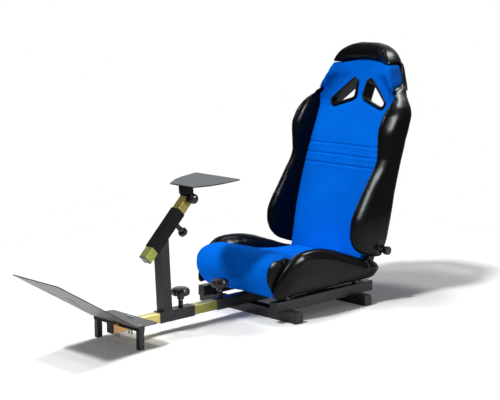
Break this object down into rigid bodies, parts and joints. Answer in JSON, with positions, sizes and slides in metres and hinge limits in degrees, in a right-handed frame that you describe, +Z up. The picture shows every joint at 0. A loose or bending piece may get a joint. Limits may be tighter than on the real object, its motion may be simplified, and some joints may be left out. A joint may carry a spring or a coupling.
{
  "type": "racing simulator seat",
  "caption": "Bucket seat with side bolsters and harness holes on a tubular floor frame, with a sliding beam for a pedal plate and a tilting deck for a steering wheel.",
  "frame": {"origin": "centre of the front cross bar's underside, on the floor", "axes": "+Z up, +Y towards the back of the seat, +X to the sitter's left"},
  "size_m": [0.5132, 1.6276, 0.957],
  "materials": {
    "frame_black": "satin black powder coat",
    "pan_black": "plain black paint",
    "zinc_yellow": "yellow zinc plating",
    "plate_grey": "light grey satin coat",
    "deck_grey": "dark grey satin coat",
    "bolt_steel": "plain zinc-plated steel",
    "knob_black": "moulded black plastic",
    "cap_black": "moulded black plastic",
    "cap_grey": "moulded light grey plastic",
    "shell_black": "grained black plastic",
    "bezel_black": "smooth black plastic",
    "foot_rubber": "black rubber",
    "blue_cloth": "woven blue cloth over foam",
    "black_vinyl": "grained black vinyl over foam"
  },
  "bodies": {
    "base": {"front_bar": "frame_black", "rear_bar": "frame_black", "bar_caps": "cap_black", "rail_left": "frame_black", "rail_right": "frame_black", "rail_caps": "cap_black", "receiver": "frame_black", "receiver_nut": "frame_black", "frame_bolts": "bolt_steel", "pan_spacers": "cap_black", "seat_pan": "pan_black", "cushion_panel": "blue_cloth", "cushion_bolster_left": "black_vinyl", "cushion_bolster_right": "black_vinyl", "recliner_plate_left": "pan_black", "recliner_plate_right": "pan_black"},
    "backrest": {"back_panel": "blue_cloth", "back_bolster_left": "black_vinyl", "back_bolster_right": "black_vinyl", "headrest_cap": "black_vinyl", "back_shell": "shell_black", "harness_bezel_left": "bezel_black", "harness_bezel_right": "bezel_black", "back_arm_left": "pan_black", "back_arm_right": "pan_black", "hoop_tube_left": "pan_black", "hoop_tube_right": "pan_black", "hoop_cross": "pan_black", "pivot_rod": "bolt_steel"},
    "recline_dial": {"recline_knob": "knob_black", "recline_shaft": "bolt_steel"},
    "beam": {"beam_tube": "zinc_yellow", "beam_caps": "cap_black", "pedal_plate": "plate_grey", "leg_bridge": "frame_black", "leg_left": "frame_black", "leg_right": "frame_black", "leg_feet": "foot_rubber", "pedal_bolts": "bolt_steel"},
    "slider": {"slide_sleeve": "frame_black", "slide_nut": "frame_black", "post": "frame_black", "column_sleeve": "frame_black", "column_nut": "frame_black"},
    "column": {"column_tube": "zinc_yellow", "column_cap": "cap_grey", "deck_bolt": "bolt_steel"},
    "deck": {"deck_plate": "deck_grey", "deck_yoke": "frame_black"},
    "receiver_clamp": {"receiver_knob": "knob_black", "receiver_stud": "bolt_steel"},
    "slide_clamp": {"slide_knob": "knob_black", "slide_stud": "bolt_steel"},
    "column_clamp": {"column_knob": "knob_black", "column_stud": "bolt_steel"},
    "deck_clamp": {"deck_knob": "knob_black"}
  },
  "joints": [
    {"name": "beam_slide", "type": "slide", "parent": "base", "child": "beam", "axis": [0, -1, 0], "range_m": [-0.06, 0.15]},
    {"name": "slider_slide", "type": "slide", "parent": "beam", "child": "slider", "axis": [0, -1, 0], "range_m": [-0.04, 0.08]},
    {"name": "column_slide", "type": "slide", "parent": "slider", "child": "column", "axis": [0, 0.7071, 0.7071], "range_m": [-0.025, 0.05]},
    {"name": "deck_tilt", "type": "hinge", "parent": "column", "child": "deck", "pos_m": [0, -0.3012, 0.455], "axis": [1, 0, 0], "range_deg": [-25, 30]},
    {"name": "recline", "type": "hinge", "parent": "base", "child": "backrest", "pos_m": [0, 0.472, 0.195], "axis": [1, 0, 0], "range_deg": [-30, 0]},
    {"name": "recline_turn", "type": "hinge", "parent": "base", "child": "recline_dial", "pos_m": [0.236, 0.472, 0.195], "axis": [1, 0, 0], "range_deg": [0, 300]},
    {"name": "receiver_clamp_turn", "type": "hinge", "parent": "base", "child": "receiver_clamp", "pos_m": [0, -0.148, 0.103], "axis": [0, 0, 1], "range_deg": [0, 360]},
    {"name": "slide_clamp_turn", "type": "hinge", "parent": "slider", "child": "slide_clamp", "pos_m": [0, -0.335, 0.103], "axis": [0, 0, 1], "range_deg": [0, 360]},
    {"name": "column_clamp_turn", "type": "hinge", "parent": "slider", "child": "column_clamp", "pos_m": [0, -0.338, 0.3532], "axis": [0, 0.7071, -0.7071], "range_deg": [0, 360]},
    {"name": "deck_clamp_turn", "type": "hinge", "parent": "column", "child": "deck_clamp", "pos_m": [0.025, -0.3012, 0.455], "axis": [1, 0, 0], "range_deg": [0, 360]}
  ],
  "couplings": [
    {"joint": "recline_turn", "follows": "recline", "ratio": -10}
  ]
}
